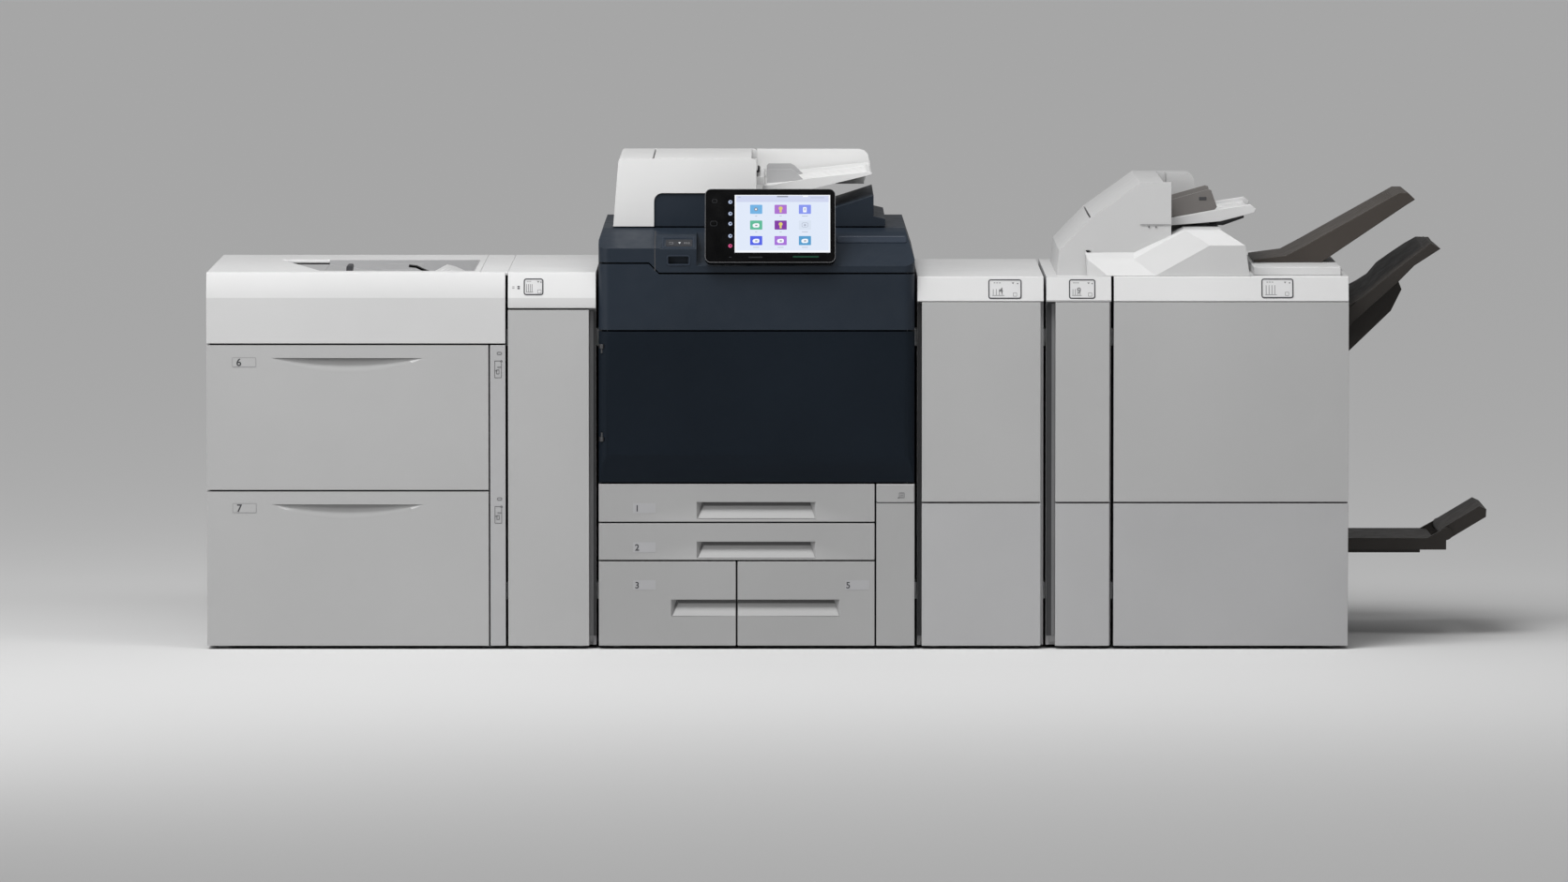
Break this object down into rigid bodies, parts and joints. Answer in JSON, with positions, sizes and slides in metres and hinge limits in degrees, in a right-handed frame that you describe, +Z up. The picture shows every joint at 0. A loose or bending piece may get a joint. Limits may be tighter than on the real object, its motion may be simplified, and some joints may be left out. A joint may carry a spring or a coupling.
{
  "type": "digital production printer",
  "caption": "Digital production printer: sheet feeder, print engine with scanner and touch screen, cooling module, inserter and stacking finisher in one line.",
  "frame": {"origin": "on the floor under the middle of the whole line", "axes": "+X along the line from the feeder to the finisher, -Y is the operator's side, +Z up"},
  "size_m": [3.031, 0.854, 1.15],
  "materials": {
    "light_plastic": "satin moulded and painted covers",
    "pale_plastic": "satin white covers",
    "navy_plastic": "fine grained dark covers",
    "grey_plastic": "plain inner mouldings",
    "brown_plastic": "smoky dark trays",
    "black_plastic": "gloss black",
    "screen": "black glass with a lit picture",
    "platen": "clear glass",
    "sheet_metal": "galvanised",
    "cabinet_metal": "fine textured paint"
  },
  "bodies": {
    "machine": {"feeder_cabinet": "cabinet_metal", "feeder_top_cover": "pale_plastic", "bypass_tray": "light_plastic", "bypass_feed_head": "pale_plastic", "drawer_runners": "sheet_metal", "transport_cabinet": "cabinet_metal", "transport_top_cover": "pale_plastic", "transport_rollers": "grey_plastic", "engine_frame": "cabinet_metal", "toner_cartridges": "grey_plastic", "drum_units": "sheet_metal", "transfer_belt_unit": "grey_plastic", "fuser_unit": "grey_plastic", "side_column": "light_plastic", "scanner_deck": "navy_plastic", "platen_glass": "platen", "cooler_cabinet": "cabinet_metal", "cooler_top_cover": "pale_plastic", "inserter_cabinet": "cabinet_metal", "inserter_head": "light_plastic", "inserter_tray": "light_plastic", "finisher_cabinet": "cabinet_metal", "finisher_top_cover": "pale_plastic", "bridge_cover": "light_plastic", "top_exit_tray": "brown_plastic", "booklet_tray": "brown_plastic", "levelling_feet": "sheet_metal", "docking_brackets": "sheet_metal", "power_inlet": "black_plastic"},
    "upper_drawer": {"upper_drawer_front": "light_plastic", "upper_drawer_tray": "sheet_metal"},
    "lower_drawer": {"lower_drawer_front": "light_plastic", "lower_drawer_tray": "sheet_metal"},
    "tray_1": {"tray_1_front": "light_plastic", "tray_1_box": "grey_plastic"},
    "tray_2": {"tray_2_front": "light_plastic", "tray_2_box": "grey_plastic"},
    "tray_3": {"tray_3_front": "light_plastic", "tray_3_box": "grey_plastic"},
    "tray_5": {"tray_5_front": "light_plastic", "tray_5_box": "grey_plastic"},
    "transport_door": {"transport_door": "light_plastic"},
    "engine_door": {"engine_front_door": "navy_plastic"},
    "upper_cover": {"upper_front_cover": "navy_plastic"},
    "scan_cover": {"document_cover": "navy_plastic", "document_feeder": "pale_plastic"},
    "feeder_lid": {"feeder_lid": "pale_plastic"},
    "document_tray": {"document_tray": "pale_plastic"},
    "screen_panel": {"control_panel": "black_plastic", "screen_glass": "screen"},
    "power_button": {"power_button": "grey_plastic"},
    "bypass_guide_front": {"bypass_guide_front": "grey_plastic"},
    "bypass_guide_rear": {"bypass_guide_rear": "grey_plastic"},
    "cooler_door": {"cooler_door": "light_plastic"},
    "inserter_door": {"inserter_door": "light_plastic"},
    "inserter_lid": {"inserter_lid": "light_plastic"},
    "finisher_door": {"finisher_door": "light_plastic"},
    "stacker_tray": {"stacker_tray": "brown_plastic"},
    "booklet_flap": {"booklet_flap": "brown_plastic"}
  },
  "joints": [
    {"name": "upper_drawer_slide", "type": "slide", "parent": "machine", "child": "upper_drawer", "axis": [0, -1, 0], "range_m": [0, 0.45]},
    {"name": "lower_drawer_slide", "type": "slide", "parent": "machine", "child": "lower_drawer", "axis": [0, -1, 0], "range_m": [0, 0.45]},
    {"name": "tray_1_slide", "type": "slide", "parent": "machine", "child": "tray_1", "axis": [0, -1, 0], "range_m": [0, 0.35]},
    {"name": "tray_2_slide", "type": "slide", "parent": "machine", "child": "tray_2", "axis": [0, -1, 0], "range_m": [0, 0.35]},
    {"name": "tray_3_slide", "type": "slide", "parent": "machine", "child": "tray_3", "axis": [0, -1, 0], "range_m": [0, 0.35]},
    {"name": "tray_5_slide", "type": "slide", "parent": "machine", "child": "tray_5", "axis": [0, -1, 0], "range_m": [0, 0.35]},
    {"name": "transport_door_hinge", "type": "hinge", "parent": "machine", "child": "transport_door", "pos_m": [-0.7985, -0.379, 0.4], "axis": [0, 0, -1], "range_deg": [0, 90]},
    {"name": "engine_door_hinge", "type": "hinge", "parent": "machine", "child": "engine_door", "pos_m": [-0.5855, -0.395, 0.57], "axis": [0, 0, -1], "range_deg": [0, 90]},
    {"name": "upper_cover_tilt", "type": "hinge", "parent": "machine", "child": "upper_cover", "pos_m": [-0.22, -0.395, 0.762], "axis": [1, 0, 0], "range_deg": [0, 80]},
    {"name": "scan_cover_lift", "type": "hinge", "parent": "machine", "child": "scan_cover", "pos_m": [-0.22, 0.327, 1.0023], "axis": [-1, 0, 0], "range_deg": [0, 60]},
    {"name": "feeder_lid_hinge", "type": "hinge", "parent": "scan_cover", "child": "feeder_lid", "pos_m": [-0.45648, 0, 1.142], "axis": [0, -1, 0], "range_deg": [0, 80]},
    {"name": "document_tray_tilt", "type": "hinge", "parent": "scan_cover", "child": "document_tray", "pos_m": [-0.21321, 0, 1.0959], "axis": [0, -1, 0], "range_deg": [0, 35]},
    {"name": "screen_tilt", "type": "hinge", "parent": "machine", "child": "screen_panel", "pos_m": [-0.19011, -0.38042, 0.95989], "axis": [-1, 0, 0], "range_deg": [-3, 35]},
    {"name": "power_button_press", "type": "slide", "parent": "screen_panel", "child": "power_button", "axis": [0, 0.9272, -0.3746], "range_m": [0, 0.001], "stiffness_N_per_m": 300},
    {"name": "guide_front_slide", "type": "slide", "parent": "machine", "child": "bypass_guide_front", "axis": [0, 1, 0], "range_m": [-0.09, 0.05]},
    {"name": "guide_rear_slide", "type": "slide", "parent": "machine", "child": "bypass_guide_rear", "axis": [0, -1, 0], "range_m": [-0.09, 0.05]},
    {"name": "cooler_door_hinge", "type": "hinge", "parent": "machine", "child": "cooler_door", "pos_m": [0.4375, -0.379, 0.6], "axis": [0, 0, 1], "range_deg": [0, 90]},
    {"name": "inserter_door_hinge", "type": "hinge", "parent": "machine", "child": "inserter_door", "pos_m": [0.5995, -0.379, 0.6], "axis": [0, 0, 1], "range_deg": [0, 90]},
    {"name": "inserter_lid_hinge", "type": "hinge", "parent": "machine", "child": "inserter_lid", "pos_m": [0.72751, 0, 1.08512], "axis": [0, 1, 0], "range_deg": [0, 70]},
    {"name": "finisher_door_hinge", "type": "hinge", "parent": "machine", "child": "finisher_door", "pos_m": [1.1615, -0.379, 0.6], "axis": [0, 0, 1], "range_deg": [0, 90]},
    {"name": "stacker_lift", "type": "slide", "parent": "machine", "child": "stacker_tray", "axis": [0, 0, -1], "range_m": [0, 0.32]},
    {"name": "booklet_flap_fold", "type": "hinge", "parent": "machine", "child": "booklet_flap", "pos_m": [1.4195, 0.08, 0.248], "axis": [0, -1, 0], "range_deg": [-31, 90]}
  ],
  "couplings": [
    {"joint": "guide_rear_slide", "follows": "guide_front_slide", "ratio": 1}
  ]
}
